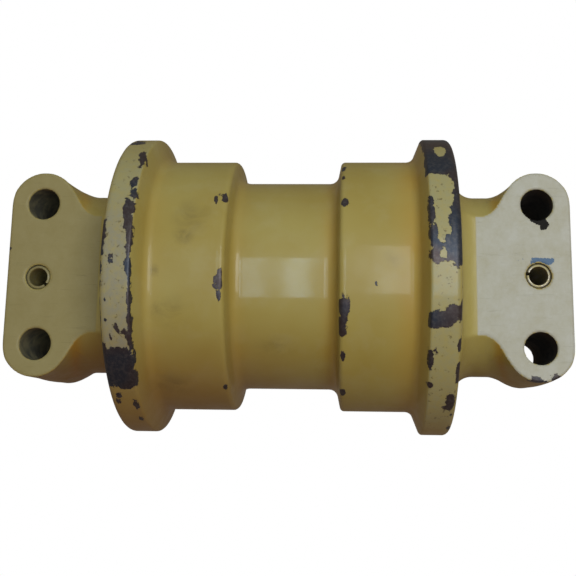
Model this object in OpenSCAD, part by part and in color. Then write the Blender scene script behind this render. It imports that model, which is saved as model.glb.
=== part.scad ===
// Track roller with two flanges: the turning shell and its bushings, the fixed shaft, the
// two end collars that bolt under a track frame, and the oil seals between them.
//
// The roller turns about Y and is centred on the origin. The collars' pads face +Z.
// Every outline below is written for the right end (+Y); the left end is its mirror image.

/* [Roller shell] */
// Diameter of the two treads that carry the track chain
tread_dia = 170; // [150:1:210]
// Height of the flanges above the treads
flange_height = 15; // [8:1:25]
// Width of each flange at its rim
flange_width = 18.5; // [14:0.5:24]
// Depth of the waist below the treads
waist_depth = 14.5; // [4:0.5:18]
// Width of the waist between the tread corners
waist_width = 70; // [50:1:90]
// Length of the shell between its end faces
shell_length = 211; // [180:1:255]
// How far the flange rims stand out past the end faces
rim_overhang = 1; // [0:0.5:5]
// Lean of the flange sides and of the waist shoulders, along the axis
side_lean = 3; // [1:0.5:5]

/* [Shaft and bushings] */
// Diameter of the shaft where the bushings run
journal_dia = 60; // [50:1:72]
// Radial running clearance of the bushings on the shaft
journal_clearance = 0.04; // [0.02:0.01:0.08]
// Wall of each bushing
bushing_wall = 10; // [8:0.5:12]
// Distance from a bushing's outer end to the seal housing
bushing_recess = 5; // [2:0.5:10]
// Width of the thrust shoulder in the middle of the shaft
shoulder_width = 62; // [40:1:80]
// Height of the thrust shoulder above the journals
shoulder_height = 6; // [4:0.5:7]
// Step down from the journals to the collar seats
seat_step = 3; // [1:0.5:5]
// Diameter of the oil bore along the shaft
oil_bore_dia = 6; // [4:0.5:7]
// Distance from the oil bore to the roller axis
oil_bore_offset = 15; // [13:0.5:16]

/* [Face seals] */
// Gap between a shell end and its collar
end_gap = 2; // [1:0.5:4]
// Radial gap between a seal ring and the shaft
seal_ring_gap = 4; // [2:0.5:6]
// Wall of a seal ring at the top of its ramp
seal_ring_wall = 6.5; // [5:0.5:9]
// Length of one metal seal ring
seal_ring_length = 12; // [10:0.5:13]
// Diameter of the rubber toric's section
toric_section = 8; // [6.5:0.5:10]

/* [End collars] */
// Bolt hole spacing across the roller
bolt_span_x = 92; // [86:1:110]
// Bolt hole spacing along the roller
bolt_span_y = 320; // [306:1:390]
// Diameter of the bolt holes
bolt_hole_dia = 20.6; // [14:0.1:22]
// Radius of the ears around the bolt holes
ear_radius = 21; // [18:0.5:24]
// Height of the pads above the roller axis
pad_height = 48; // [42:1:54]
// Depth of the ears behind the pads
ear_depth = 78; // [60:1:85]
// Metal around the seal housing
collar_wall = 11; // [8:0.5:14]
// Height of the flare that covers the joint with the shell
flare_height = 7; // [2:0.5:9]

/* [Spring pins] */
// Diameter of the spring pins that hold the collars to the shaft
pin_dia = 16; // [12:0.5:18]
// Wall of a spring pin
pin_wall = 2.2; // [1.5:0.1:3]
// Width of a spring pin's slot
pin_slot = 2.6; // [1:0.1:4]
// Place of the left pin from the middle of its pad: across, then outward
left_pin_shift = [2.6, 1];

/* [Hidden] */
$fn = 96;

LEFT = -1;
RIGHT = 1;
yellow = [0.62, 0.57, 0.33];
bare_steel = [0.50, 0.50, 0.52];
bronze = [0.72, 0.53, 0.30];
black_rubber = [0.06, 0.06, 0.06];
overcut = 1;            // how far a cutter runs past the face that it opens

// Shell
tread_r = tread_dia / 2;
flange_r = tread_r + flange_height;
waist_r = tread_r - waist_depth;
shell_end = shell_length / 2;
rim_outer = shell_end + rim_overhang;
rim_inner = rim_outer - flange_width;
flange_foot = rim_inner - 2 * side_lean;
waist_corner = waist_width / 2;
waist_foot = waist_corner - side_lean;
rim_round = 2.5;
tread_round = 4;
foot_fillet = 6;
face_drop = 22;         // radial width of the dished outer side of a flange

// Shaft and bushings
journal_r = journal_dia / 2 - journal_clearance;
bushing_r = journal_dia / 2;
shoulder_r = bushing_r + shoulder_height;
shoulder_end = shoulder_width / 2;
shoulder_gap = 0.2;     // end play between the shoulder and each bushing
land_r = shoulder_r + 1;
land_end = shoulder_end + shoulder_gap;
bushing_seat_r = bushing_r + bushing_wall;
seat_r = bushing_r - seat_step;

// Face seals: each distance is measured away from the plane where the two rings meet
seal_y = shell_end + end_gap / 2;
seal_film = 0.05;       // oil film between the two lapped faces
seal_ring_r = bushing_r + seal_ring_gap;
lip_thick = 3.5;
lip_r = seal_ring_r + seal_ring_wall + 6;
ramp_angle = 20;
ramp_top = [seal_ring_r + seal_ring_wall, lip_thick];
ramp_along = [-sin(ramp_angle), cos(ramp_angle)];
ramp_out = [cos(ramp_angle), sin(ramp_angle)];
ramp_length = (seal_ring_length - lip_thick) / cos(ramp_angle);
ramp_end = ramp_top + ramp_length * ramp_along;
ramp_middle = ramp_top + ramp_length / 2 * ramp_along;
toric_centre = ramp_middle + toric_section / 2 * ramp_out;
housing_middle = ramp_middle + toric_section * ramp_out;
toric_reach = toric_centre.y + toric_section / 2;
housing_depth = max(seal_ring_length + 2, toric_reach + 0.5);   // clears both at its floor
mouth_r = housing_r(end_gap / 2);
bottom_r = housing_r(housing_depth);
bushing_end = seal_y - housing_depth - bushing_recess;

// Collars
collar_face = shell_end + end_gap;
housing_back = seal_y + housing_depth;
hub_r = mouth_r + collar_wall;
flare_r = hub_r + flare_height;
flare_fillet = 15;
flare_edge = 1;         // straight edge of the flare next to the shell
bolt_x = bolt_span_x / 2;
bolt_y = bolt_span_y / 2;
collar_end = bolt_y + ear_radius;
ear_back = pad_height - ear_depth;
ear_fillet = 20;
pad_half_width = sqrt(hub_r * hub_r - pad_height * pad_height);
pad_step = 12;          // radius where the pad runs up to the hub
pad_start = housing_back + 1.5;
hub_round = 6;
bolt_seat_dia = 38;

// Shaft ends, O-rings and oil plug
shaft_end = collar_end - 3;
o_ring_section = 3.8;
groove_width = 5;
groove_start = housing_back + 3;
groove_r = seat_r - o_ring_section;
plug_head_dia = 14;
plug_head_length = 4;
plug_thread_dia = 10;
plug_thread_length = 10;
plug_socket = 5;
plug_seal_thick = 1.2;
plug_pocket_dia = plug_head_dia + 1;
plug_pocket_depth = plug_head_length + plug_seal_thick + 0.8;
plug_floor = shaft_end - plug_pocket_depth;

// Spring pins
pin_top = pad_height - 1.2;
pin_bottom = -seat_r - 10;
pin_taper = 1.5;
pin_mouth_dia = pin_dia + 2;
knockout_dia = 9;
right_slot_angle = -102;
left_slot_angle = 48;       // of the mirrored pin

// Radius of the seal housing's ramp at a distance from the seal plane
function housing_r(distance) =
    housing_middle.x - (distance - housing_middle.y) * tan(ramp_angle);

// Points along an arc, by its centre, radius, first and last angle
function arc(centre, radius, first, last, steps = 8) =
    [for (i = [0:steps]) let (a = first + (last - first) * i / steps)
        centre + radius * [cos(a), sin(a)]];

function unit(v) = v / norm(v);

// The arc that rounds corner b of the path a, b, c
function round_corner(a, b, c, radius) =
    let (
        to_a = unit(a - b),
        to_c = unit(c - b),
        half = acos(to_a * to_c) / 2,
        centre = b + unit(to_a + to_c) * radius / sin(half),
        start = b + to_a * radius / tan(half) - centre,
        first = atan2(start.y, start.x),
        turn = (180 - 2 * half) * -sign(cross(to_a, to_c))
    )
    arc(centre, radius, first, first + turn);

// A closed outline from corners given as [x, y] or, where they are rounded, [x, y, radius]
function outline(corners) =
    let (count = len(corners))
    [for (i = [0:count - 1])
        let (
            a = corners[(i + count - 1) % count],
            b = corners[i],
            c = corners[(i + 1) % count]
        )
        each (len(b) == 2 ? [b] : round_corner([a.x, a.y], [b.x, b.y], [c.x, c.y], b.z))];

// A corner list followed by its own mirror image in y, back to the start
function both_ends(corners) =
    concat(corners, [for (i = [len(corners) - 1:-1:0])
        let (c = corners[i]) len(c) == 2 ? [c.x, -c.y] : [c.x, -c.y, c.z]]);

// Revolves an outline of [radius, y] corners about the roller axis
module revolve(corners) {
    rotate([-90, 0, 0])
        rotate_extrude()
            polygon(outline(corners));
}

// Places the right end's geometry at the right or the left end
module at_end(side) {
    mirror([0, side == LEFT ? 1 : 0, 0]) children();
}

// A cylinder along the roller axis between two places on it
module bar(radius, from, to) {
    translate([0, from, 0])
        rotate([-90, 0, 0])
            cylinder(h = to - from, r = radius);
}

function pin_place(side) =
    side == LEFT ? [left_pin_shift.x, bolt_y + left_pin_shift.y] : [0, bolt_y];

module roller_shell() {
    color(yellow) revolve(both_ends([
        [waist_r, waist_foot, foot_fillet],
        [tread_r, waist_corner, tread_round],
        [tread_r, flange_foot, foot_fillet],
        [flange_r, rim_inner, rim_round],
        [flange_r, rim_outer, rim_round],
        [flange_r - face_drop, shell_end],
        [mouth_r, shell_end],
        [bottom_r, seal_y - housing_depth],
        [bushing_seat_r, seal_y - housing_depth],
        [bushing_seat_r, land_end],
        [land_r, land_end]
    ]));
}

module bushing(side) {
    chamfer = 1.5;
    color(bronze) at_end(side) revolve([
        [bushing_r, land_end],
        [bushing_seat_r, land_end],
        [bushing_seat_r, bushing_end - chamfer],
        [bushing_seat_r - chamfer, bushing_end],
        [bushing_r + chamfer, bushing_end],
        [bushing_r, bushing_end - chamfer]
    ]);
}

// Oil bore from the right end, its feed to the middle of the shell and the plug's pocket
module oil_passages() {
    translate([oil_bore_offset, 0, 0]) {
        bar(oil_bore_dia / 2, 0, shaft_end + overcut);
        bar(plug_thread_dia / 2, plug_floor - plug_thread_length, shaft_end + overcut);
        bar(plug_pocket_dia / 2, plug_floor, shaft_end + overcut);
        rotate([0, 90, 0]) cylinder(h = shoulder_r, d = oil_bore_dia);
    }
}

module shaft() {
    chamfer = 2;
    color(bare_steel) difference() {
        revolve(both_ends([
            [shoulder_r, shoulder_end],
            [journal_r, shoulder_end],
            [journal_r, housing_back],
            [seat_r, housing_back],
            [seat_r, groove_start],
            [groove_r, groove_start],
            [groove_r, groove_start + groove_width],
            [seat_r, groove_start + groove_width],
            [seat_r, shaft_end - chamfer],
            [seat_r - chamfer, shaft_end],
            [0, shaft_end]
        ]));
        for (side = [LEFT, RIGHT])
            at_end(side) pin_hole(side);
        oil_passages();
    }
}

// The pin's hole, its mouth in the pad and the smaller hole that drives the pin out
module pin_hole(side) {
    mouth_depth = (pin_mouth_dia - pin_dia) / 2;
    place = pin_place(side);
    translate([place.x, place.y, 0]) {
        translate([0, 0, pin_bottom])
            cylinder(h = pad_height + overcut - pin_bottom, d = pin_dia);
        translate([0, 0, pad_height - mouth_depth])
            cylinder(h = mouth_depth, d1 = pin_dia, d2 = pin_mouth_dia);
        translate([0, 0, -flare_r])
            cylinder(h = flare_r, d = knockout_dia);
    }
}

// Outline of the collar seen along Z: two ears around the bolt holes, blended to the hub
module ear_outline() {
    blend_x = pad_half_width + ear_fillet;
    blend_y = bolt_y - sqrt(pow(ear_radius + ear_fillet, 2) - pow(blend_x - bolt_x, 2));
    to_ear = atan2(bolt_x - blend_x, bolt_y - blend_y);
    right_side = concat(
        [[collar_end, 0]],
        arc([bolt_y, bolt_x], ear_radius, 0, 180 + to_ear),
        arc([blend_y, blend_x], ear_fillet, to_ear, -90),
        [[collar_face + overcut, pad_half_width], [collar_face + overcut, 0]]
    );
    intersection() {
        for (way = [0, 1])
            mirror([way, 0])
                polygon([for (p = right_side) [p.y, p.x]]);
        translate([-2 * hub_r, collar_face])
            square([4 * hub_r, collar_end - collar_face]);
    }
}

module collar_hub() {
    fillet_y = collar_face + flare_edge + sqrt(pow(flare_fillet, 2)
        - pow(flare_fillet - flare_height, 2));
    top_angle = acos(-(flare_fillet - flare_height) / flare_fillet);
    fillet = arc([hub_r + flare_fillet, fillet_y], flare_fillet, -top_angle, -180);
    revolve(concat(
        [[mouth_r, collar_face], [flare_r, collar_face]],
        fillet,
        [
            [hub_r, collar_end, hub_round],
            [seat_r, collar_end],
            [seat_r, housing_back],
            [bottom_r, housing_back]
        ]
    ));
}

// Milling above the pad, with the cutter's radius where it stops against the hub
module pad_milling() {
    width = 4 * hub_r;
    translate([-width / 2, pad_start, pad_height])
        cube([width, collar_end - pad_start + overcut, 2 * pad_step]);
    translate([-width / 2, pad_start, pad_height + pad_step])
        rotate([0, 90, 0])
            cylinder(h = width, r = pad_step);
}

module bolt_holes() {
    for (x = [-bolt_x, bolt_x])
        translate([x, bolt_y, 0]) {
            translate([0, 0, ear_back - overcut])
                cylinder(h = ear_depth + 2 * overcut, d = bolt_hole_dia);
            translate([0, 0, -flare_r])
                cylinder(h = flare_r + ear_back, d = bolt_seat_dia);
        }
}

module collar(side) {
    color(yellow) at_end(side) difference() {
        union() {
            collar_hub();
            difference() {
                translate([0, 0, ear_back])
                    linear_extrude(ear_depth)
                        ear_outline();
                bar(hub_r - overcut, collar_face - overcut, collar_end - hub_round);
                bar(seat_r, collar_face, collar_end + overcut);
            }
        }
        pad_milling();
        bolt_holes();
        pin_hole(side);
    }
}

module spring_pin(side) {
    place = pin_place(side);
    outer_r = pin_dia / 2;
    bore_r = outer_r - pin_wall;
    end_r = outer_r - 0.6;
    color(bare_steel) at_end(side)
        translate([place.x, place.y, 0])
            difference() {
                rotate_extrude() polygon([
                    [bore_r, pin_bottom],
                    [end_r, pin_bottom],
                    [outer_r, pin_bottom + pin_taper],
                    [outer_r, pin_top - pin_taper],
                    [end_r, pin_top],
                    [bore_r, pin_top]
                ]);
                rotate([0, 0, side == LEFT ? -left_slot_angle : right_slot_angle])
                    translate([0, -pin_slot / 2, pin_bottom - overcut])
                        cube([pin_dia, pin_slot, pin_top - pin_bottom + 2 * overcut]);
            }
}

// A ring of round section about the roller axis, at [radius, y]
module round_ring(centre, section_dia) {
    rotate([-90, 0, 0])
        rotate_extrude()
            translate(centre)
                circle(d = section_dia);
}

module collar_o_ring(side) {
    centre = [seat_r - o_ring_section / 2, groove_start + groove_width / 2];
    color(black_rubber) at_end(side) round_ring(centre, o_ring_section);
}

// The half of a face seal that turns lies inward of the seal plane, the fixed half outward
TURNING = -1;
FIXED = 1;

module seal_ring(side, half) {
    corners = [
        [seal_ring_r, seal_film / 2],
        [lip_r, seal_film / 2],
        [lip_r, lip_thick],
        ramp_top,
        ramp_end,
        [seal_ring_r, seal_ring_length]
    ];
    color(bare_steel) at_end(side)
        revolve([for (c = corners) [c.x, seal_y + half * c.y]]);
}

module toric(side, half) {
    color(black_rubber) at_end(side)
        round_ring([toric_centre.x, seal_y + half * toric_centre.y], toric_section);
}

module oil_plug() {
    head_start = plug_floor + plug_seal_thick;
    color(bare_steel) translate([oil_bore_offset, 0, 0]) difference() {
        union() {
            bar(plug_thread_dia / 2, plug_floor - plug_thread_length, head_start);
            bar(plug_head_dia / 2, head_start, head_start + plug_head_length);
        }
        translate([0, head_start + plug_head_length + overcut, 0])
            rotate([90, 0, 0])
                cylinder(h = plug_head_length + overcut, d = plug_socket / cos(30), $fn = 6);
    }
}

module oil_plug_seal() {
    color("peru") translate([oil_bore_offset, 0, 0]) difference() {
        bar(plug_head_dia / 2, plug_floor, plug_floor + plug_seal_thick);
        bar(plug_thread_dia / 2, plug_floor - overcut, shaft_end);
    }
}

roller_shell();
bushing(LEFT);  // bushing_left
bushing(RIGHT);  // bushing_right
shaft();
collar(LEFT);  // collar_left
collar(RIGHT);  // collar_right
spring_pin(LEFT);  // spring_pin_left
spring_pin(RIGHT);  // spring_pin_right
collar_o_ring(LEFT);  // collar_o_ring_left
collar_o_ring(RIGHT);  // collar_o_ring_right
seal_ring(LEFT, TURNING);  // seal_ring_turning_left
seal_ring(RIGHT, TURNING);  // seal_ring_turning_right
seal_ring(LEFT, FIXED);  // seal_ring_fixed_left
seal_ring(RIGHT, FIXED);  // seal_ring_fixed_right
toric(LEFT, TURNING);  // toric_turning_left
toric(RIGHT, TURNING);  // toric_turning_right
toric(LEFT, FIXED);  // toric_fixed_left
toric(RIGHT, FIXED);  // toric_fixed_right
oil_plug();
oil_plug_seal();
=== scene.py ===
import math

import bpy
import numpy as np
from mathutils import Matrix, Vector


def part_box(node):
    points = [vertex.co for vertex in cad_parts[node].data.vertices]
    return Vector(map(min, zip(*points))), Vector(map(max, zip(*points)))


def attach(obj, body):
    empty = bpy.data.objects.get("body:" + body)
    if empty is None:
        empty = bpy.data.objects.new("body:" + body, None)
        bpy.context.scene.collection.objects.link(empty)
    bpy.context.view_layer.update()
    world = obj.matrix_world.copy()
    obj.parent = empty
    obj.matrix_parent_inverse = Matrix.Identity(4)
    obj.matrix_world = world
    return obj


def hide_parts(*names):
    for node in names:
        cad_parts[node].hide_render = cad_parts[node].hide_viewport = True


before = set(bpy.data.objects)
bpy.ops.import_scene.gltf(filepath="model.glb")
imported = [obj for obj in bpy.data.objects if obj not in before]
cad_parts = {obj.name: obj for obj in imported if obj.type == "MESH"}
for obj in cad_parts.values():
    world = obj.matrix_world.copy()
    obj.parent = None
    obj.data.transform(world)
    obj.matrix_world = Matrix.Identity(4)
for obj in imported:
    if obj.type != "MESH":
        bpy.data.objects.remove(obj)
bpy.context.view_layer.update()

# ---------------------------------------------------------------------------------------
# Roller shell. One forging in medium-carbon steel, turned all over and hardened on the
# treads and flanges, then painted yellow. The paint has gone from the flange rims, where
# they were handled and knocked about, and from spots on the tread corners.
# ---------------------------------------------------------------------------------------
MM = 0.001
shell_low, shell_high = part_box("roller_shell")
flange_r = shell_high.x / MM
shell_end = 105.5               # the flat end faces, where the seals go in
rim_outer = 106.5               # outer corner of a flange, before it is rounded
rim_inner = 88.0                # inner corner, at the top of the sloping flank
flange_foot = 82.0              # where the flank runs into the tread
tread_r = flange_r - 15.0
waist_r = tread_r - 14.5
waist_corner = 35.0             # inner end of a tread
waist_foot = 32.0               # where the slope down from it runs into the waist
end_face_r = flange_r - 22.0    # the end is flat out to here, then rises to the rim
seal_plane = shell_end + 1.0    # where the two rings of a face seal meet
housing_mouth_r = 49.9          # the tapered seal housing, at its mouth and its floor
housing_floor_r = 45.2
housing_depth = 14.0            # from the seal plane, in the shell and in the collar alike
bushing_seat_r = 40.0
bushing_stop = 31.2             # shoulder that each bushing is pressed against
core_r = 37.0                   # the bore between the two bushings
hidden_r = 60.0                 # everything inside this radius is closed off by the collars
LEFT, RIGHT = -1, 1


def unit(v):
    return v / np.linalg.norm(v)


def arc_corner(before, corner, after, radius, steps):
    """The points that round a corner of an outline."""
    a, b, c = (np.array(p[:2], float) for p in (before, corner, after))
    to_a, to_c = unit(a - b), unit(c - b)
    half = math.acos(np.clip(to_a @ to_c, -1, 1)) / 2
    centre = b + unit(to_a + to_c) * radius / math.sin(half)
    start = b + to_a * radius / math.tan(half) - centre
    first = math.atan2(start[1], start[0])
    turn = (math.pi - 2 * half) * -np.sign(to_a[0] * to_c[1] - to_a[1] * to_c[0])
    return [centre + radius * np.array((math.cos(first + turn * i / steps),
                                        math.sin(first + turn * i / steps)))
            for i in range(steps + 1)]


def outline(corners, longest=2.5, steps=6):
    """A closed outline of (radius, y) points, rounded at its corners, with no long steps."""
    rounded = []
    for i, corner in enumerate(corners):
        before, after = corners[i - 1], corners[(i + 1) % len(corners)]
        if len(corner) == 2:
            rounded.append(np.array(corner, float))
        else:
            rounded += arc_corner(before, corner, after, corner[2], steps)
    points = []
    for a, b in zip(rounded, rounded[1:] + rounded[:1]):
        parts = max(1, math.ceil(np.linalg.norm(b - a) / longest))
        points += [a + (b - a) * i / parts for i in range(parts)]
    return np.array(points)


def both_ends(corners):
    """A corner list for the right end, carried on round the left end."""
    return corners + [(c[0], -c[1], *c[2:]) for c in reversed(corners)]


def mesh_object(name, points, faces, sharp_degrees=35):
    """A smooth-shaded object from points in millimetres."""
    mesh = bpy.data.meshes.new(name)
    mesh.from_pydata((np.asarray(points) * MM).tolist(), [], [list(f) for f in faces])
    mesh.validate()
    mesh.shade_smooth()
    mesh.set_sharp_from_angle(angle=math.radians(sharp_degrees))
    made = bpy.data.objects.new(name, mesh)
    bpy.context.scene.collection.objects.link(made)
    return made


def turned(name, profile, around=300):
    """Spins a closed (radius, y) outline about the Y axis, as a lathe would cut it."""
    count = len(profile)
    angles = np.arange(around) * 2 * math.pi / around
    radius, along = profile[:, 0], profile[:, 1]
    points = np.stack([
        np.outer(np.sin(angles), radius),
        np.tile(along, (around, 1)),
        np.outer(np.cos(angles), radius),
    ], axis=-1).reshape(-1, 3)
    ring, step = np.meshgrid(np.arange(around), np.arange(count), indexing="ij")
    this, after = ring * count, (ring + 1) % around * count
    nxt = (step + 1) % count
    faces = np.stack([this + step, this + nxt, after + nxt, after + step], axis=-1)
    return mesh_object(name, points, faces.reshape(-1, 4))


def vertex_places(piece):
    co = np.empty(len(piece.data.vertices) * 3)
    piece.data.vertices.foreach_get("co", co)
    return co.reshape(-1, 3) / MM


def paint_attribute(piece, name, values):
    made = piece.data.attributes.new(name, "FLOAT", "POINT")
    made.data.foreach_set("value", np.asarray(values, np.float32))


def soft_step(value, low, high):
    t = np.clip((value - low) / (high - low), 0, 1)
    return t * t * (3 - 2 * t)


roller_shell = turned("shell_body", outline(both_ends([
    (waist_r, waist_foot, 6),
    (tread_r, waist_corner, 3),
    (tread_r, flange_foot, 6),
    (flange_r, rim_inner, 2),
    (flange_r, rim_outer, 4),
    (end_face_r, shell_end, 2),
    (housing_mouth_r, shell_end, 1),
    (housing_floor_r, seal_plane - housing_depth),
    (bushing_seat_r, seal_plane - housing_depth, 0.5),
    (bushing_seat_r, bushing_stop),
    (core_r, bushing_stop, 0.5),
])))

# Bare patches on a flange rim: angle from +Z and half-spread in degrees, place across the rim
# from its middle (outward positive) and half-width in mm, then how bare
LEFT_RIM = [
    (-78, 12, 7, 3, 0.9), (-61, 3, 2, 7, 0.8),
    (-47, 3, -6.5, 2.4, 1.0), (-42, 4, -7.5, 2, 1.0), (-29, 4, -6.5, 2.0, 1.0), (-25, 3, -7.5, 2.4, 0.9),
    (-18, 5, -6, 3.4, 1.3), (-13, 4, -6.5, 2.6, 1.1), (-6, 7, -8, 1.9, 1.1), (2, 4, -7.6, 1.6, 0.9),
    (8, 7, -9, 1.3, 1.0), (18, 8, -9, 1.4, 1.0), (27, 5, -8.6, 1.8, 1.0),
    (-7, 9, 8.4, 2.8, 1.3), (3, 7, 8.8, 1.8, 0.9), (0, 2, 2, 1.4, 0.8), (13, 9, 9, 1.3, 0.8),
    (14, 1.2, 5, 1, 0.8), (17, 1.4, 2, 1.1, 0.8), (19, 1, -3, 1, 0.7), (21.5, 1.6, 4.5, 1.2, 0.8),
    (23.5, 1.6, -1, 1.4, 0.8), (25.5, 2, -5.5, 2, 0.9), (27, 1.4, 3, 1.6, 0.7), (26, 8, 9.3, 1.2, 0.9),
    (39, 9, 2, 13, 2.4), (36, 5, -5, 6, 1.6), (43, 5, -4, 9, 2.0), (33, 4, 7, 3, 1.2),
    (51.5, 2, 3, 2, 0.8), (55, 2, 4, 1.4, 0.7), (57, 2.5, -6.5, 2, 0.8), (67, 2.5, -6, 2, 0.8),
    (110, 16, 2, 10, 1.0), (170, 22, -3, 7, 1.0), (215, 9, 4, 12, 1.2), (262, 14, -4, 6, 1.0),
]
RIGHT_RIM = [
    (-62, 26, 0, 16, 3.2), (-41, 8, -1, 14, 2.4), (-36, 7, 8, 5, 1.6),
    (-20, 16, 8.5, 4.0, 2.0), (-12, 9, 6, 4.5, 1.5), (-16, 7, -8.5, 2.4, 1.2), (-9, 5, -7.5, 3, 1.2),
    (-3.8, 5, 1, 12, 2.4), (-2, 3.5, -6, 4.5, 1.4), (-1, 3, 7, 3, 1.2),
    (8, 3, 9.6, 1.2, 0.9), (13.5, 2.5, 9.4, 1.4, 0.9), (18, 3.4, 8.5, 2.6, 1.2),
    (19.5, 3.4, -2, 8.5, 2.0), (17.5, 2.6, 3, 6, 1.5), (21.5, 2, -7, 3.5, 1.0),
    (29, 2.6, 8.6, 2, 1.0), (34, 4.5, -8.8, 2.0, 1.2), (31, 1.4, -6, 1.5, 0.7),
    (40, 4, 8.4, 2, 1.1), (45, 1.8, -8, 2.4, 1.0), (53, 4, 4.8, 3.4, 1.3), (57, 2, 3, 3, 0.9),
    (61, 1.5, 6, 1.4, 0.7), (73, 3, 7, 1.2, 0.6),
    (120, 20, 0, 9, 1.1), (160, 9, 5, 6, 1.0), (205, 24, -5, 5, 1.0), (250, 12, 3, 12, 1.2),
]
# Dabs of paint left on the bare steel of the right rim: angle, half-spread, place, half-width
DABS = [(-50, 4.5, 0, 3.6), (-29, 6, -2, 6.4), (-24, 5, -2, 5.4), (-14, 9, -2.4, 3), (-2, 2, -2.4, 1.6)]
# Chips off the treads, most at the corners next to the waist: angle, half-spread, side of
# the roller, place outward from the corner and half-width in mm
CORNER_CHIPS = [
    (-31, 2.6, LEFT, 1.5, 1.4), (-30, 2.4, LEFT, 7.5, 0.8), (-33, 1, LEFT, 6, 1.4),
    (5, 2.4, LEFT, 2.0, 1.3), (8, 4, LEFT, 1.6, 1.2), (10, 2.6, LEFT, 3.6, 1.6),
    (12.5, 3, LEFT, 2.2, 1.3), (6.5, 1.4, LEFT, 4.8, 1.0), (9, 1.6, LEFT, 6.2, 0.9),
    (58, 2, LEFT, 2, 1.2), (-55, 3, RIGHT, 1.6, 1.6), (-45, 2.2, RIGHT, 1.4, 1.4),
    (-28, 2.4, RIGHT, 2.2, 2.2), (19, 7, RIGHT, 2.2, 3.6), (25, 6, RIGHT, 1.2, 2.8),
    (39, 3, RIGHT, 1.8, 1.9), (61, 3, RIGHT, 1.8, 1.8), (8, 1, RIGHT, 21, 0.7),
    (24, 2.2, RIGHT, 42, 0.6), (27, 0.8, RIGHT, 15, 0.7),
    (140, 8, LEFT, 1, 2.4), (200, 6, RIGHT, 1, 2.4), (230, 9, LEFT, 1, 2.4), (100, 5, RIGHT, 1, 2.2),
]
CHIP_STRENGTH = 1.3
# Smears of grease on the treads and waist: angle, half-spread, y and half-width in mm, strength
SMEARS = [
    (-21, 11, -56, 15, 0.40), (-12, 5, -60, 8, 0.65), (3, 3, -77, 4, 0.9), (20, 9, -67, 15, 0.40),
    (19, 5, -75, 6, 0.60), (56, 10, -70, 18, 0.40), (-2, 5, 66, 9, 0.25), (42, 9, -5, 16, 0.30),
    (160, 14, 20, 22, 0.5),
]


def patch(angle, place, middle, spread, across, width):
    """1 in the middle of a patch, 0 on its edge and falling outside."""
    turn = (angle - middle + 180) % 360 - 180
    return 1 - np.hypot(turn / spread, (place - across) / width)


def lower_left_shade(x, y, z):
    """Painted shade: a brown darkening over the +X side of the left half, fading out across the waist.
    """
    angle = np.degrees(np.arctan2(x, z))
    return soft_step(angle, 15, 65) * (1 - soft_step(angle, 120, 160)) * soft_step(-y, -30, 60)


def shell_wear(piece):
    """Marks on the mesh where each kind of wear is, and where shade is painted, for the paint to use."""
    x, y, z = vertex_places(piece).T
    radius = np.hypot(x, z)
    angle = np.degrees(np.arctan2(x, z))
    rim_middle = (rim_inner + rim_outer) / 2
    wear = np.full(len(x), -1.0)
    for side, patches in ((LEFT, LEFT_RIM), (RIGHT, RIGHT_RIM)):
        across = y * side - rim_middle
        bare = np.full(len(x), -1.0)
        for middle, spread, place, width, strength in patches:
            bare = np.maximum(bare, strength * patch(angle, across, middle, spread, place, width))
        if side == RIGHT:
            for middle, spread, place, width in DABS:
                bare = np.minimum(bare, -2.2 * patch(angle, across, middle, spread, place, width))
        on_rim = soft_step(radius, flange_r - 5, flange_r - 1.5)
        wear = np.where(y * side > flange_foot, np.minimum(bare, 3 * on_rim - 1.5), wear)
    for middle, spread, side, out, width in CORNER_CHIPS:
        place = np.where(radius > tread_r - 4, y * side - waist_corner, 99)
        near = CHIP_STRENGTH * patch(angle, place, middle, spread, out, width)
        wear = np.maximum(wear, np.where(y * side > 0, near, -1))
    paint_attribute(piece, "bare", np.clip(wear, -1, 1.2))
    smear = np.zeros(len(x))
    for middle, spread, place, width, strength in SMEARS:
        smear = np.maximum(smear, strength * patch(angle, y, middle, spread, place, width))
    paint_attribute(piece, "smear", np.where(radius > waist_r - 1, smear, 0))
    # Painted shade: a warm brown darkening in the fillets at the flange feet and the waist, stronger on
    # the right
    foot = np.hypot(radius - tread_r, np.abs(y) - flange_foot) / np.where(y > 0, 12, 8)
    waist_corner_in = np.hypot(radius - waist_r, np.abs(y) - waist_foot) / 7
    side_shade = np.where(y > 0, 0.85, 0.35)
    paint_attribute(piece, "fillet_shade", side_shade * (np.exp(-foot ** 2) + np.exp(-waist_corner_in ** 2)))
    on_rim = soft_step(radius, flange_r - 1.5, flange_r - 0.2) * (np.abs(y) > rim_inner)
    facing_up = np.cos(np.radians(angle + np.where(y > 0, -9, 3)))
    handled = soft_step(facing_up - np.where(y > 0, 0.25, 0.45), 0, 0.4)
    paint_attribute(piece, "dusty", on_rim * handled)
    # Painted shade: the lower-left side, for the paint to darken
    paint_attribute(piece, "darkening", lower_left_shade(x, y, z))
    paint_attribute(piece, "grey", soft_step(angle, -32, -8) * (1 - soft_step(angle, 30, 45)) * (y < 0))
    paint_attribute(piece, "satin", soft_step(radius, waist_r + 1, waist_r + 7))
    paint_attribute(piece, "inside", (np.abs(y) < shell_end - 0.5) & (radius < hidden_r))


shell_wear(roller_shell)


def wire(tree, kind, sockets=None, **settings):
    """Adds a node. sockets gives an input a value, or links another node's output to it."""
    made = tree.nodes.new(kind)
    for setting, value in settings.items():
        setattr(made, setting, value)
    for socket, value in (sockets or {}).items():
        if isinstance(value, bpy.types.NodeSocket):
            tree.links.new(value, made.inputs[socket])
        else:
            made.inputs[socket].default_value = value
    return made


def start_material(name, **sockets):
    """A material with one Principled shader; sockets sets what is the same all over."""
    made = bpy.data.materials.new(name)
    made.use_nodes = True
    shader = made.node_tree.nodes["Principled BSDF"]
    for socket, value in sockets.items():
        shader.inputs[socket.replace("_", " ")].default_value = value
    return made, made.node_tree, shader


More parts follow.
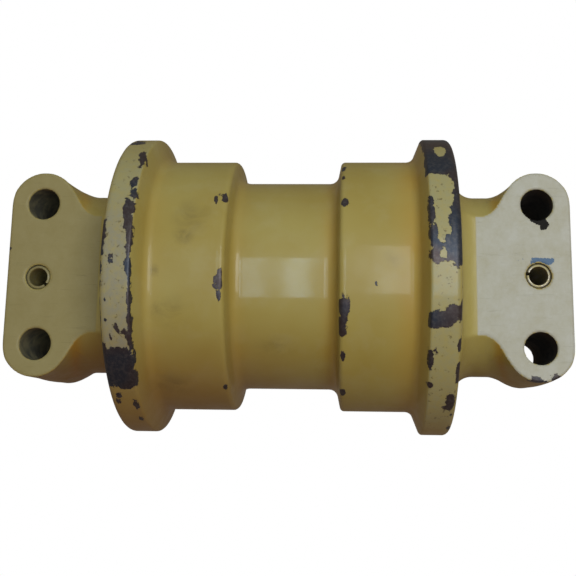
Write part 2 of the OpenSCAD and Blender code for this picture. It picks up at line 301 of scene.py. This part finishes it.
def object_place(tree, stretch=(1, 1, 1)):
    """Places on the piece itself, squeezed along an axis for grain that runs one way."""
    place = wire(tree, "ShaderNodeTexCoord").outputs["Object"]
    if stretch == (1, 1, 1):
        return place
    return wire(tree, "ShaderNodeMapping", {"Vector": place, "Scale": stretch}).outputs[0]


def mottle(tree, place, scale, detail=4.0, roughness=0.55, warp=0.0):
    return wire(tree, "ShaderNodeTexNoise", {
        "Vector": place, "Scale": scale, "Detail": detail, "Roughness": roughness,
        "Distortion": warp}).outputs[0]


def math_node(tree, operation, a, b):
    return wire(tree, "ShaderNodeMath", {0: a, 1: b}, operation=operation).outputs[0]


def rescale(tree, value, low, high, to_low=0.0, to_high=1.0):
    return wire(tree, "ShaderNodeMapRange", {
        "Value": value, "From Min": low, "From Max": high, "To Min": to_low,
        "To Max": to_high}).outputs[0]


def blend_colour(tree, share, a, b, way="MIX"):
    made = wire(tree, "ShaderNodeMix", data_type="RGBA", blend_type=way)
    for socket, value in ((0, share), (6, a), (7, b)):
        if isinstance(value, bpy.types.NodeSocket):
            tree.links.new(value, made.inputs[socket])
        else:
            made.inputs[socket].default_value = (*value, 1) if socket else value
    return made.outputs[2]


def attribute(tree, name):
    return wire(tree, "ShaderNodeAttribute", attribute_name=name).outputs["Fac"]


def bumped(tree, height, distance, strength=1.0, under=None):
    sockets = {"Height": height, "Distance": distance, "Strength": strength}
    if under is not None:
        sockets["Normal"] = under
    return wire(tree, "ShaderNodeBump", sockets).outputs[0]


YELLOW = (0.395, 0.328, 0.096)
YELLOW_DULL = (0.350, 0.268, 0.062)
YELLOW_DUSTY = (0.430, 0.385, 0.200)
RIM_DUST = (0.335, 0.305, 0.145)
RIM_GREY = (0.285, 0.265, 0.175)
# Colours of painted shade: warm brown in the fillets, and a brown darkening multiplied over the
# lower-left side
FILLET_SHADE = (0.420, 0.245, 0.030)
LOWER_LEFT_SHADE = (0.78, 0.60, 0.50)
SCUFF = (0.120, 0.090, 0.035)
GREASE = (0.085, 0.065, 0.030)
MACHINED = (0.20, 0.19, 0.18)


def yellow_paint(tree, place):
    """Enamel sprayed over the forging: its tone drifts a little and darkens in small scuffs."""
    tone = rescale(tree, mottle(tree, place, 14, 3, 0.5), 0.34, 0.66)
    colour = blend_colour(tree, tone, YELLOW_DULL, YELLOW)
    dust = rescale(tree, mottle(tree, place, 50, 5, 0.6, 0.2), 0.50, 0.85, 0, 0.30)
    colour = blend_colour(tree, dust, colour, YELLOW_DUSTY)
    scuffs = rescale(tree, mottle(tree, place, 70, 8, 0.72, 0.8), 0.70, 0.78, 0, 0.45)
    return blend_colour(tree, scuffs, colour, SCUFF)


def bare_steel(tree, place):
    """Handled steel where the paint has gone: dark, with blue and brown casts."""
    cast = rescale(tree, mottle(tree, place, 30, 2, 0.5), 0.42, 0.58)
    colour = blend_colour(tree, cast, (0.062, 0.046, 0.044), (0.036, 0.044, 0.060))
    grain = rescale(tree, mottle(tree, place, 420, 5, 0.7), 0.45, 0.75, 0, 0.7)
    return blend_colour(tree, grain, colour, (0.120, 0.112, 0.110))


def ragged(tree, place, bias, raggedness=1.15):
    """Turns a soft wear value into a mask with the broken edge of flaking paint."""
    flakes = mottle(tree, place, 130, 7, 0.68, 0.3)
    lifted = math_node(tree, "MULTIPLY", math_node(tree, "SUBTRACT", flakes, 0.5), raggedness * 3)
    return rescale(tree, math_node(tree, "ADD", lifted, bias), 0.02, 0.10)


def make_shell_paint():
    """Enamel with painted warm shade in the fillets and painted shade on the lower-left, grease on the
    treads, and dust and steel on the rims.
    """
    material, tree, shader = start_material(
        "worn_yellow_enamel", Specular_IOR_Level=0.30, Coat_Roughness=0.09)
    place = object_place(tree)
    paint = yellow_paint(tree, place)
    # Painted shade: warm brown in the fillets
    fillet_shade = math_node(tree, "MULTIPLY", attribute(tree, "fillet_shade"),
                      rescale(tree, mottle(tree, place, 35, 5), 0.25, 0.75, 0.35, 0.95))
    paint = blend_colour(tree, fillet_shade, paint, FILLET_SHADE)
    smear = math_node(tree, "MULTIPLY", attribute(tree, "smear"),
                      rescale(tree, mottle(tree, place, 60, 6, 0.65, 0.6), 0.38, 0.62))
    paint = blend_colour(tree, smear, paint, GREASE)
    speckle = rescale(tree, mottle(tree, place, 240, 6, 0.7), 0.40, 0.70, 1.0, 0.35)
    dusty = math_node(tree, "MULTIPLY", attribute(tree, "dusty"), speckle)
    dust = blend_colour(tree, attribute(tree, "grey"), RIM_DUST, RIM_GREY)
    paint = blend_colour(tree, dusty, paint, dust)
    pits = rescale(tree, mottle(tree, place, 330, 3, 0.6), 0.62, 0.70, 0, 0.75)
    pits = math_node(tree, "MULTIPLY", attribute(tree, "dusty"), pits)
    paint = blend_colour(tree, pits, paint, SCUFF)
    # Painted shade: the lower-left side darkened
    paint = blend_colour(tree, attribute(tree, "darkening"), paint, LOWER_LEFT_SHADE, "MULTIPLY")
    bare = ragged(tree, place, attribute(tree, "bare"))
    steel = bare_steel(tree, place)
    colour = blend_colour(tree, bare, paint, steel)
    colour = blend_colour(tree, attribute(tree, "inside"), colour, MACHINED)
    tree.links.new(colour, shader.inputs["Base Color"])
    dull = rescale(tree, mottle(tree, place, 90, 5), 0.3, 0.7, 0.36, 0.52)
    rough = wire(tree, "ShaderNodeMix", {0: bare, 2: dull, 3: 0.42}).outputs[0]
    tree.links.new(rough, shader.inputs["Roughness"])
    tree.links.new(math_node(tree, "MULTIPLY", bare, 0.55), shader.inputs["Metallic"])
    gloss = rescale(tree, mottle(tree, place, 30, 4), 0.35, 0.65, 0.30, 0.55)
    gloss = math_node(tree, "MULTIPLY", gloss,
                      rescale(tree, attribute(tree, "satin"), 0, 1, 1, 0.55))
    tree.links.new(math_node(tree, "MULTIPLY", math_node(tree, "SUBTRACT", 1.0, bare), gloss),
                   shader.inputs["Coat Weight"])
    turning = mottle(tree, object_place(tree, (0.04, 1, 0.04)), 900, 3, 0.6)
    orange_peel = mottle(tree, place, 350, 4, 0.6)
    surface = bumped(tree, orange_peel, 0.00004, 0.5)
    surface = bumped(tree, turning, 0.00002, 0.5, surface)
    step = math_node(tree, "SUBTRACT", 1.0, bare)
    surface = bumped(tree, step, 0.0003, 0.7, surface)
    tree.links.new(surface, shader.inputs["Normal"])
    return material


shell_paint = make_shell_paint()
roller_shell.data.materials.append(shell_paint)
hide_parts("roller_shell")
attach(roller_shell, "roller")


# ---------------------------------------------------------------------------------------
# Bushings, shaft and face seals, in the order they go into the shell. The bronze bushings
# are pressed in, the ground shaft turns oil-wet inside them, and each face seal is a pair
# of lapped iron rings pushed together by two rubber torics.
# ---------------------------------------------------------------------------------------
def turned_metal(name, colour, fine, roughness):
    """Bare metal with the fine rings that a lathe or a grinder leaves round the axis."""
    material, tree, shader = start_material(name, Metallic=1.0)
    rings = mottle(tree, object_place(tree, (0.02, 1, 0.02)), fine, 3, 0.6)
    place = object_place(tree)
    darkening = rescale(tree, mottle(tree, place, 70, 5, 0.6), 0.35, 0.75)
    dark = tuple(0.55 * c for c in colour)
    tree.links.new(blend_colour(tree, darkening, colour, dark), shader.inputs["Base Color"])
    tree.links.new(rescale(tree, rings, 0.3, 0.7, roughness, roughness + 0.18),
                   shader.inputs["Roughness"])
    tree.links.new(bumped(tree, rings, 0.00004, 0.6), shader.inputs["Normal"])
    return material


def black_rubber():
    """Oil-resistant rubber with a faint grey bloom."""
    material, tree, shader = start_material("black_nitrile", Specular_IOR_Level=0.35)
    place = object_place(tree)
    bloom = rescale(tree, mottle(tree, place, 90, 5, 0.6), 0.35, 0.8)
    tree.links.new(blend_colour(tree, bloom, (0.014, 0.014, 0.015), (0.035, 0.034, 0.033)),
                   shader.inputs["Base Color"])
    tree.links.new(rescale(tree, bloom, 0, 1, 0.48, 0.72), shader.inputs["Roughness"])
    tree.links.new(bumped(tree, mottle(tree, place, 900, 3), 0.00003, 0.5),
                   shader.inputs["Normal"])
    return material


def finish_nodes(material, *names):
    """Gives carried-over pieces their finish in place of the flat one they came with."""
    for name in names:
        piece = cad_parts[name]
        piece.data.materials.clear()
        piece.data.materials.append(material)


SIDES = {LEFT: "left", RIGHT: "right"}
finish_nodes(turned_metal("oiled_bronze", (0.50, 0.29, 0.10), 1400, 0.26),
             *(f"bushing_{side}" for side in SIDES.values()))
finish_nodes(turned_metal("ground_steel", (0.40, 0.39, 0.38), 1800, 0.28), "shaft")
finish_nodes(turned_metal("lapped_iron", (0.20, 0.20, 0.21), 1200, 0.30),
             *(f"seal_ring_{half}_{side}" for half in ("turning", "fixed") for side in SIDES.values()))
finish_nodes(black_rubber(),
             *(f"toric_{half}_{side}" for half in ("turning", "fixed") for side in SIDES.values()),
             *(f"collar_o_ring_{side}" for side in SIDES.values()))


# ---------------------------------------------------------------------------------------
# End collars. Each is a steel forging: a round hub that flares out to cover the joint with
# the shell, and two deep ears blended into it. The pad, the bolt holes and seats, the shaft
# bore and the seal housing are machined, and the whole is painted with the shell.
# ---------------------------------------------------------------------------------------
collar_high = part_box("collar_right")[1]
collar_face = shell_end + 2.0   # inner face, a small gap away from the shell
collar_end = collar_high.y / MM
ear_r = 21.0                # round end of an ear
bolt_x = 46.0
bolt_y = collar_end - ear_r
bolt_hole_r = 10.3
bolt_seat_r = 19.0          # the seat spot-faced round the hole, on the far side
ear_back = -30.0            # height of the ears' far side and of the bolt seats
pad_height = 48.0
pad_start = 122.0           # inner edge of the pad
pad_step = 12.0             # radius of the cutter that milled the pad
flare_r = collar_high.x / MM
flare_lip = 2.0             # thickness of the flare at its rim
flare_fillet = 14.0
hub_r = flare_r - 7.0
forged_edge = 6.0           # rounding left by the dies
end_edge = 3.0              # rounding of the outer end
fine_edge = 1.0
shaft_seat_r = 27.0
pin_r = 8.0
pin_depth = -37.0           # height of the pin hole's floor
knockout_r = 4.5            # the small hole that the pin is driven out through
pin_places = {LEFT: (2.6, bolt_y + 1.0), RIGHT: (0.0, bolt_y)}
chamfer = 1.5               # at the mouth of the shaft bore
housing_slope = 0.364       # taper of the seal housing, radius lost per mm of depth


def run_together(a, b, fillet):
    """Distance to two solids joined with a fillet, from the distances to each."""
    near = np.hypot(np.maximum(fillet - a, 0), np.maximum(fillet - b, 0))
    return np.maximum(fillet, np.minimum(a, b)) - near


def common(a, b, edge):
    """Distance to what two solids share, with its edge rounded."""
    return -run_together(-a, -b, edge)


def cut_from(solid, cutter, edge):
    """Distance to a solid with a cut made in it, the edge of the cut rounded."""
    return common(solid, -cutter, edge)


def forged_hub(x, y, z):
    about = np.hypot(x, z)
    hub = common(about - hub_r, y - collar_end, forged_edge)
    flare = common(about - flare_r, y - collar_face - flare_lip, fine_edge)
    return run_together(hub, flare, flare_fillet)


def forged_ears(x, y, z):
    post = np.hypot(np.abs(x) - bolt_x, y - bolt_y) - ear_r
    bridge = np.maximum(np.abs(x) - bolt_x, np.abs(y - bolt_y) - ear_r)
    deep = np.maximum(ear_back - z, z - pad_height - pad_step)
    return common(np.minimum(post, bridge), deep, forged_edge)


def collar_forging(x, y, z):
    fillet = 9.5 + 5.5 * soft_step(z, 15, 46)    # tighter away from the pad
    forging = run_together(forged_hub(x, y, z), forged_ears(x, y, z), fillet)
    forging = common(forging, y - collar_end, end_edge)
    return common(forging, collar_face - y, fine_edge)


def pad_milling(y, z):
    return common(pad_height - z, pad_start - pad_step - y, pad_step)


def bolt_holes(x, y, z):
    from_bolt = np.hypot(np.abs(x) - bolt_x, y - bolt_y)
    return from_bolt - bolt_hole_r, np.maximum(from_bolt - bolt_seat_r, z - ear_back)


def pin_hole(x, y, z, side):
    pin_x, pin_y = pin_places[side]
    from_pin = np.hypot(x - pin_x, y - pin_y)
    mouth = np.clip(z - pad_height + 1, 0, 2)
    hole = np.maximum(from_pin - pin_r - mouth, pin_depth - z)
    return np.minimum(hole, np.maximum(from_pin - knockout_r, z))


def shaft_bore(x, y, z):
    about = np.hypot(x, z)
    bore = about - shaft_seat_r - np.clip(y - collar_end + chamfer, 0, 2 * chamfer)
    housing_r = housing_mouth_r - housing_slope * (y - collar_face)
    return np.minimum(bore, np.maximum(about - housing_r, y - seal_plane - housing_depth))


def collar_solid(side):
    def distance(x, y, z):
        holes, seats = bolt_holes(x, y, z)
        solid = cut_from(collar_forging(x, y, z), pad_milling(y, z), 0.7)
        solid = cut_from(solid, seats, 1.0)
        solid = cut_from(solid, holes, 0.8)
        solid = cut_from(solid, pin_hole(x, y, z, side), 0.5)
        return cut_from(solid, shaft_bore(x, y, z), 0.5)
    return distance


CELL_CORNERS = np.array([(i, j, k) for i in (0, 1) for j in (0, 1) for k in (0, 1)])
CELL_EDGES = [(a, b) for a in CELL_CORNERS for b in CELL_CORNERS
              if (b - a).sum() == 1 and (b >= a).all()]


def settle(points, distance, cell, times=5):
    """Slides points along the slope of the distance until they lie on the surface."""
    reach = 0.05
    for _ in range(times):
        slope = np.stack([
            (distance(*(points + step).T) - distance(*(points - step).T)) / (2 * reach)
            for step in np.eye(3) * reach], axis=1)
        steep = np.maximum((slope ** 2).sum(1), 0.05)
        move = np.clip(distance(*points.T) / steep, -cell / 2, cell / 2)
        points = points - move[:, None] * slope
    return points


def skin(distance, low, high, cell):
    """Points and four-sided faces of a solid's surface, one point in each cell it crosses."""
    axes = [np.arange(a, b + cell, cell) for a, b in zip(low, high)]
    value = distance(*np.meshgrid(*axes, indexing="ij"))
    inside = value < 0
    size = np.array(value.shape) - 1
    held = sum(inside[i:i + size[0], j:j + size[1], k:k + size[2]].astype(int)
               for i, j, k in CELL_CORNERS)
    crossed = (held > 0) & (held < 8)
    cells = np.argwhere(crossed)
    number = np.full(crossed.shape, -1)
    number[crossed] = np.arange(len(cells))
    total, hits = np.zeros((len(cells), 3)), np.zeros(len(cells))
    for a, b in CELL_EDGES:
        at_a, at_b = value[tuple((cells + a).T)], value[tuple((cells + b).T)]
        hit = (at_a < 0) != (at_b < 0)
        share = np.where(hit, at_a / np.where(hit, at_a - at_b, 1), 0)
        total += hit[:, None] * (a + share[:, None] * (b - a))
        hits += hit
    points = np.array(low) + (cells + total / hits[:, None]) * cell
    faces = []
    for axis in range(3):
        along, u, v = np.eye(3, dtype=int)[[axis, (axis + 1) % 3, (axis + 2) % 3]]
        first = inside[tuple(slice(0, n + 1 - step) for n, step in zip(size, along))]
        second = inside[tuple(slice(step, None) for step in along)]
        for leaving in (True, False):
            change = np.argwhere((first & ~second) if leaving else (second & ~first))
            change = change[((change - u - v >= 0) & (change < size)).all(1)]
            ring = [change - u - v, change - v, change, change - u]
            quad = np.stack([number[tuple(c.T)] for c in ring], axis=1)
            faces.append(quad if leaving else quad[:, ::-1])
    return settle(points, distance, cell), np.concatenate(faces)


# Bare patches on the pads' edges: across, outward and size in mm, and how bare
PAD_MARKS = {
    LEFT: [(-16, 20.5, 1.6, 0.7)],
    RIGHT: [(67, -4, 4, 1.1), (66, 9.5, 4, 1.1), (68, 3, 3, 0.6)],
}
# Dirt in the burst edge of one bolt hole, in the same terms
PAD_DIRT = {LEFT: [], RIGHT: [(-35.5, 2, 4, 1.0), (-33, 4, 3, 1.1), (-36, -3, 2, 0.8)]}
MARK_DEPTH = 8.0            # how far below the pad its marks and dirt reach
BLUE_DAB = (-9.5, 2.0)      # stray paint beside the right pin, across and outward
BLUE = (0.060, 0.125, 0.220)
PACKED_DIRT = (0.010, 0.009, 0.008)


def collar_wear(piece, side):
    """Marks on the mesh the pad, the holes, each kind of wear, and where shade is painted."""
    x, y, z = vertex_places(piece).T
    y = y * side
    on_pad = (np.abs(z - pad_height) < 0.4) & (y > pad_start - 1)
    holes, _ = bolt_holes(x, y, z)
    in_hole = np.minimum(holes, pin_hole(x, y, z, side))
    paint_attribute(piece, "pad", on_pad)
    # The walls of the holes, which the paint darkens as painted shade
    paint_attribute(piece, "hole", soft_step(0.6 - in_hole, 0, 0.5) * (z < pad_height - 0.9))
    bore = (np.hypot(x, z) < hidden_r) & (y < collar_end - 2) & (shaft_bore(x, y, z) < 0.3)
    paint_attribute(piece, "inside", bore)
    # Painted shade in the fillets between the hub and the ears
    blend = np.minimum(forged_hub(x, y, z), forged_ears(x, y, z))
    paint_attribute(piece, "fillet_shade", soft_step(blend, 0.3, 4) * ~on_pad)
    bare = np.full(len(x), -1.0)
    for across, out, size, strength in PAD_MARKS[side]:
        gone = np.hypot(x - across, y - bolt_y - out) / size
        bare = np.maximum(bare, np.where(z > pad_height - MARK_DEPTH, strength - gone, -1))
    paint_attribute(piece, "bare", bare)
    dirt = np.full(len(x), -1.0)
    for across, out, size, strength in PAD_DIRT[side]:
        gone = np.hypot(x - across, y - bolt_y - out) / size
        dirt = np.maximum(dirt, np.where(z > pad_height - MARK_DEPTH, strength - gone, -1))
    paint_attribute(piece, "dirt", dirt)
    # Painted shade over the lower-left side
    paint_attribute(piece, "darkening", lower_left_shade(x, y * side, z) * ~on_pad)
    narrow, long = 2.6, 9.0
    stray = 1 - np.hypot((x - BLUE_DAB[0]) / narrow, (y - bolt_y - BLUE_DAB[1]) / long)
    paint_attribute(piece, "stray", np.where(on_pad & (side == RIGHT), stray, -1))


def make_collar_paint(name, pad_colour, pad_dust, hole_shade, hole_dust):
    """The yellow of the shell, with a handled pad, painted shade in the fillets and the lower-left, and
    dusty holes painted dark as shade.
    """
    material, tree, shader = start_material(name, Specular_IOR_Level=0.4, Coat_Roughness=0.28)
    place = object_place(tree)
    paint = yellow_paint(tree, place)
    # Painted shade: warm brown in the fillets
    fillet_shade = math_node(tree, "MULTIPLY", attribute(tree, "fillet_shade"),
                      rescale(tree, mottle(tree, place, 40, 5), 0.3, 0.7, 0.45, 0.9))
    paint = blend_colour(tree, fillet_shade, paint, FILLET_SHADE)
    dust = rescale(tree, mottle(tree, place, 90, 8, 0.75), 0.25, 0.75)
    pad = blend_colour(tree, dust, pad_colour, pad_dust)
    scratch_place = object_place(tree, (1, 0.08, 1))
    scratches = mottle(tree, scratch_place, 700, 4, 0.65)
    pad = blend_colour(tree, rescale(tree, scratches, 0.60, 0.78, 0, 0.45), pad,
                       tuple(0.55 * c for c in pad_colour))
    # Painted shade: the lower-left side darkened
    paint = blend_colour(tree, attribute(tree, "darkening"), paint, LOWER_LEFT_SHADE, "MULTIPLY")
    colour = blend_colour(tree, attribute(tree, "pad"), paint, pad)
    bare = ragged(tree, place, attribute(tree, "bare"), 0.8)
    colour = blend_colour(tree, bare, colour, bare_steel(tree, place))
    stray = ragged(tree, place, attribute(tree, "stray"), 1.5)
    colour = blend_colour(tree, stray, colour, BLUE)
    dirt = ragged(tree, place, attribute(tree, "dirt"), 0.8)
    colour = blend_colour(tree, dirt, colour, PACKED_DIRT)
    hidden = math_node(tree, "MAXIMUM", dirt, attribute(tree, "hole"))
    clean = math_node(tree, "SUBTRACT", 1.0, hidden)
    tree.links.new(math_node(tree, "MULTIPLY", clean, 0.12), shader.inputs["Coat Weight"])
    # The hole walls: dust mottled into a dark colour that is painted shade
    hole_dust_and_shade = blend_colour(tree, rescale(tree, mottle(tree, place, 90, 5), 0.38, 0.60),
                        hole_shade, hole_dust)
    colour = blend_colour(tree, attribute(tree, "hole"), colour, hole_dust_and_shade)
    colour = blend_colour(tree, attribute(tree, "inside"), colour, MACHINED)
    tree.links.new(colour, shader.inputs["Base Color"])
    dull = rescale(tree, mottle(tree, place, 90, 5), 0.3, 0.7, 0.40, 0.58)
    rough = wire(tree, "ShaderNodeMix", {0: attribute(tree, "pad"), 2: dull, 3: 0.62}).outputs[0]
    rough = wire(tree, "ShaderNodeMix", {0: hidden, 2: rough, 3: 0.95}).outputs[0]
    tree.links.new(rough, shader.inputs["Roughness"])
    tree.links.new(math_node(tree, "MULTIPLY", bare, 0.6), shader.inputs["Metallic"])
    forged = mottle(tree, place, 180, 6, 0.62)
    smooth_pad = rescale(tree, attribute(tree, "pad"), 0, 1, 1, 0.12)
    surface = bumped(tree, math_node(tree, "MULTIPLY", forged, smooth_pad), 0.0006, 0.6)
    surface = bumped(tree, scratches, 0.00005, 0.4, surface)
    surface = bumped(tree, math_node(tree, "SUBTRACT", 1.0, bare), 0.0003, 0.6, surface)
    tree.links.new(surface, shader.inputs["Normal"])
    return material


# The darker hole colour of each side is painted shade inside the holes
collar_paints = {
    LEFT: make_collar_paint(
        "left_collar_enamel",
        pad_colour=(0.275, 0.225, 0.078), pad_dust=(0.320, 0.270, 0.112),
        hole_shade=(0.085, 0.082, 0.058), hole_dust=(0.210, 0.190, 0.105)),
    RIGHT: make_collar_paint(
        "right_collar_enamel",
        pad_colour=(0.370, 0.350, 0.240), pad_dust=(0.465, 0.465, 0.400),
        hole_shade=(0.034, 0.029, 0.025), hole_dust=(0.066, 0.052, 0.038)),
}
CELL = 1.0
around_x, around_y, around_z = 74, 2.5, 72     # room for the collar: half-width, gap, half-height
for side, name in SIDES.items():
    points, faces = skin(collar_solid(side), (-around_x, collar_face - around_y, -around_z),
                         (around_x, collar_end + around_y, around_z), CELL)
    if side == LEFT:
        points, faces = points * (1, -1, 1), faces[:, ::-1]
    collar = mesh_object(f"collar_casting_{name}", points, faces, 180)
    collar_wear(collar, side)
    collar.data.materials.append(collar_paints[side])
    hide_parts(f"collar_{name}")
    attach(collar, "root")


# ---------------------------------------------------------------------------------------
# Spring pins. Each is a strip of spring steel rolled into a slotted tube, with both ends
# nosed in, and driven through the pad, the collar and the shaft to lock them together.
# ---------------------------------------------------------------------------------------
pin_low, pin_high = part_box("spring_pin_right")
pin_wall = 2.2
pin_slot = 2.6
nose = 1.5                  # length of each drawn-in end


def rolled_tube(name, middle, slot_angle, steps=72):
    """A slotted tube, swept up its length as (height, how far the outside and inside draw in)."""
    low, high = pin_low.z / MM, pin_high.z / MM
    levels = [(low, 1.0, 0.35), (low + 0.3, 0.65, 0.1), (low + nose, 0, 0), (high - nose, 0, 0),
              (high - 0.8, 0.25, 0), (high - 0.3, 0.55, 0.1), (high, 0.95, 0.4)]
    gap = math.asin(pin_slot / 2 / pin_r)
    turn = slot_angle + gap + (2 * math.pi - 2 * gap) * np.arange(steps + 1) / steps
    circle = np.stack([np.cos(turn), np.sin(turn)], axis=1)
    points, faces = [], []
    for height, outer, inner in levels:
        for radius in (pin_r - outer, pin_r - pin_wall + inner):
            ring = middle + circle * radius
            points += [(px, py, height) for px, py in ring]
    count = steps + 1
    for level in range(len(levels) - 1):
        outer, inner = 2 * level * count, (2 * level + 1) * count
        for i in range(steps):
            faces.append((outer + i, outer + i + 1, outer + i + 1 + 2 * count, outer + i + 2 * count))
            faces.append((inner + i + 1, inner + i, inner + i + 2 * count, inner + i + 1 + 2 * count))
        for i in (0, steps):
            edge = (outer + i, outer + i + 2 * count, inner + i + 2 * count, inner + i)
            faces.append(edge if i == 0 else edge[::-1])
    top = 2 * (len(levels) - 1) * count
    for i in range(steps):
        faces.append((i + 1, i, count + i, count + i + 1))
        faces.append((top + i, top + i + 1, top + count + i + 1, top + count + i))
    return mesh_object(name, points, faces, 40)


def make_pin_steel(name, bright, film_colour, metallic):
    """Spring steel with a film of paint left on it."""
    material, tree, shader = start_material(name, Metallic=metallic)
    place = object_place(tree)
    film = rescale(tree, mottle(tree, place, 260, 5, 0.6), 0.42, 0.60)
    colour = blend_colour(tree, film, bright, film_colour)
    tree.links.new(colour, shader.inputs["Base Color"])
    tree.links.new(rescale(tree, film, 0, 1, 0.32, 0.55), shader.inputs["Roughness"])
    tree.links.new(bumped(tree, mottle(tree, place, 700, 4), 0.00005, 0.6),
                   shader.inputs["Normal"])
    return material


pin_steel = {
    LEFT: make_pin_steel(
        "painted_spring_steel",
        bright=(0.230, 0.200, 0.090), film_colour=(0.260, 0.215, 0.080), metallic=0.1),
    RIGHT: make_pin_steel(
        "rubbed_spring_steel",
        bright=(0.330, 0.300, 0.230), film_colour=(0.370, 0.320, 0.160), metallic=0.55),
}
SLOT_ANGLE = {LEFT: math.radians(48), RIGHT: math.radians(-102)}
for side, name in SIDES.items():
    across, out = pin_places[side]
    pin = rolled_tube(f"roll_pin_{name}", np.array((across, out * side)), SLOT_ANGLE[side])
    pin.data.materials.append(pin_steel[side])
    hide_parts(f"spring_pin_{name}")
    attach(pin, "root")

# ---------------------------------------------------------------------------------------
# Oil plug. A socket-head plug of blackened steel closes the filling bore in the shaft's end.
# It is screwed down on a copper washer once the roller has been filled.
# ---------------------------------------------------------------------------------------
finish_nodes(turned_metal("blackened_plug_steel", (0.16, 0.16, 0.17), 900, 0.38), "oil_plug")
finish_nodes(turned_metal("annealed_copper", (0.58, 0.26, 0.13), 900, 0.34), "oil_plug_seal")


# ---------------------------------------------------------------------------------------
# Floor, lamps and camera. The roller stands on its flanges on a plain white floor, lit by a
# broad lamp and two narrow ones overhead and by daylight, pale on one side and warm brown on
# the other.
# ---------------------------------------------------------------------------------------
def pale_floor():
    """Plain white from above and see-through from below; it lights the roller dimly."""
    half = 2.0
    height = shell_low.z
    mesh = bpy.data.meshes.new("floor")
    mesh.from_pydata([(-half, -half, height), (half, -half, height),
                      (half, half, height), (-half, half, height)], [], [(0, 1, 2, 3)])
    floor = bpy.data.objects.new("floor", mesh)
    bpy.context.scene.collection.objects.link(floor)
    material = bpy.data.materials.new("pale_floor")
    material.use_nodes = True
    tree = material.node_tree
    dim = wire(tree, "ShaderNodeEmission", {"Color": (0.44, 0.36, 0.28, 1), "Strength": 0.45})
    white = wire(tree, "ShaderNodeEmission", {"Color": (1, 1, 1, 1), "Strength": 1.0})
    seen = wire(tree, "ShaderNodeLightPath").outputs["Is Camera Ray"]
    top = wire(tree, "ShaderNodeMixShader", {0: seen, 1: dim.outputs[0], 2: white.outputs[0]})
    below = wire(tree, "ShaderNodeNewGeometry").outputs["Backfacing"]
    clear = wire(tree, "ShaderNodeBsdfTransparent")
    both = wire(tree, "ShaderNodeMixShader", {0: below, 1: top.outputs[0], 2: clear.outputs[0]})
    tree.links.new(both.outputs[0], tree.nodes["Material Output"].inputs["Surface"])
    mesh.materials.append(material)


def soft_lamp(name, place, size, watts, colour):
    """A panel that shines straight down; size is its length along X and along Y."""
    light = bpy.data.lights.new(name, "AREA")
    light.shape = "RECTANGLE"
    light.size, light.size_y = size
    light.energy = watts
    light.color = colour
    lamp = bpy.data.objects.new(name, light)
    lamp.location = place
    bpy.context.scene.collection.objects.link(lamp)


def turn(degrees, axis):
    return Matrix.Rotation(math.radians(degrees), 3, axis)


def set_camera():
    """Looks down on the pads from the +X side, with +Y to the right."""
    upright = Matrix(((0, 1, 0), (-1, 0, 0), (0, 0, 1)))
    look = turn(-0.80, "Z") @ turn(-9.93, "X") @ turn(-2.75, "Y") @ upright
    right, up, away = 0.0137, 0.0060, 0.6151     # the lens from the roller's middle
    data = bpy.data.cameras.new("camera")
    data.sensor_width = 36
    data.lens = 55.56
    data.shift_x = -0.0394
    data.shift_y = -0.0177
    camera = bpy.data.objects.new("camera", data)
    back = look.inverted()
    lens_place = back @ Vector((right, up, away))
    camera.matrix_world = Matrix.Translation(lens_place) @ back.to_4x4()
    bpy.context.scene.collection.objects.link(camera)
    bpy.context.scene.camera = camera


def daylight():
    """White behind the roller; its light is pale from -X and warm brown from +X."""
    world = bpy.data.worlds.new("studio")
    world.use_nodes = True
    tree = world.node_tree
    place = wire(tree, "ShaderNodeTexCoord").outputs["Generated"]
    across = wire(tree, "ShaderNodeSeparateXYZ", {0: place}).outputs["X"]
    colour = blend_colour(
        tree, rescale(tree, across, -0.6, 0.6), (0.62, 0.66, 0.66), (0.33, 0.115, 0.030))
    around = wire(tree, "ShaderNodeBackground", {"Color": colour, "Strength": 0.45})
    white = tree.nodes["Background"]
    white.inputs["Color"].default_value = (1, 1, 1, 1)
    seen = wire(tree, "ShaderNodeLightPath").outputs["Is Camera Ray"]
    both = wire(tree, "ShaderNodeMixShader", {0: seen, 1: around.outputs[0], 2: white.outputs[0]})
    tree.links.new(both.outputs[0], tree.nodes["World Output"].inputs["Surface"])
    bpy.context.scene.world = world


pale_floor()
daylight()
bpy.context.scene.view_settings.view_transform = "Standard"
soft_lamp("window", (-0.13, 0.42, 1.2), (0.9, 0.68), 9.6, (0.96, 0.99, 1.0))
soft_lamp("pane_wide", (0, -0.161, 1.2), (0.9, 0.062), 0.9, (0.62, 0.84, 1.0))
soft_lamp("pane_narrow", (0, -0.064, 1.2), (0.9, 0.038), 1.1, (0.62, 0.84, 1.0))
set_camera()
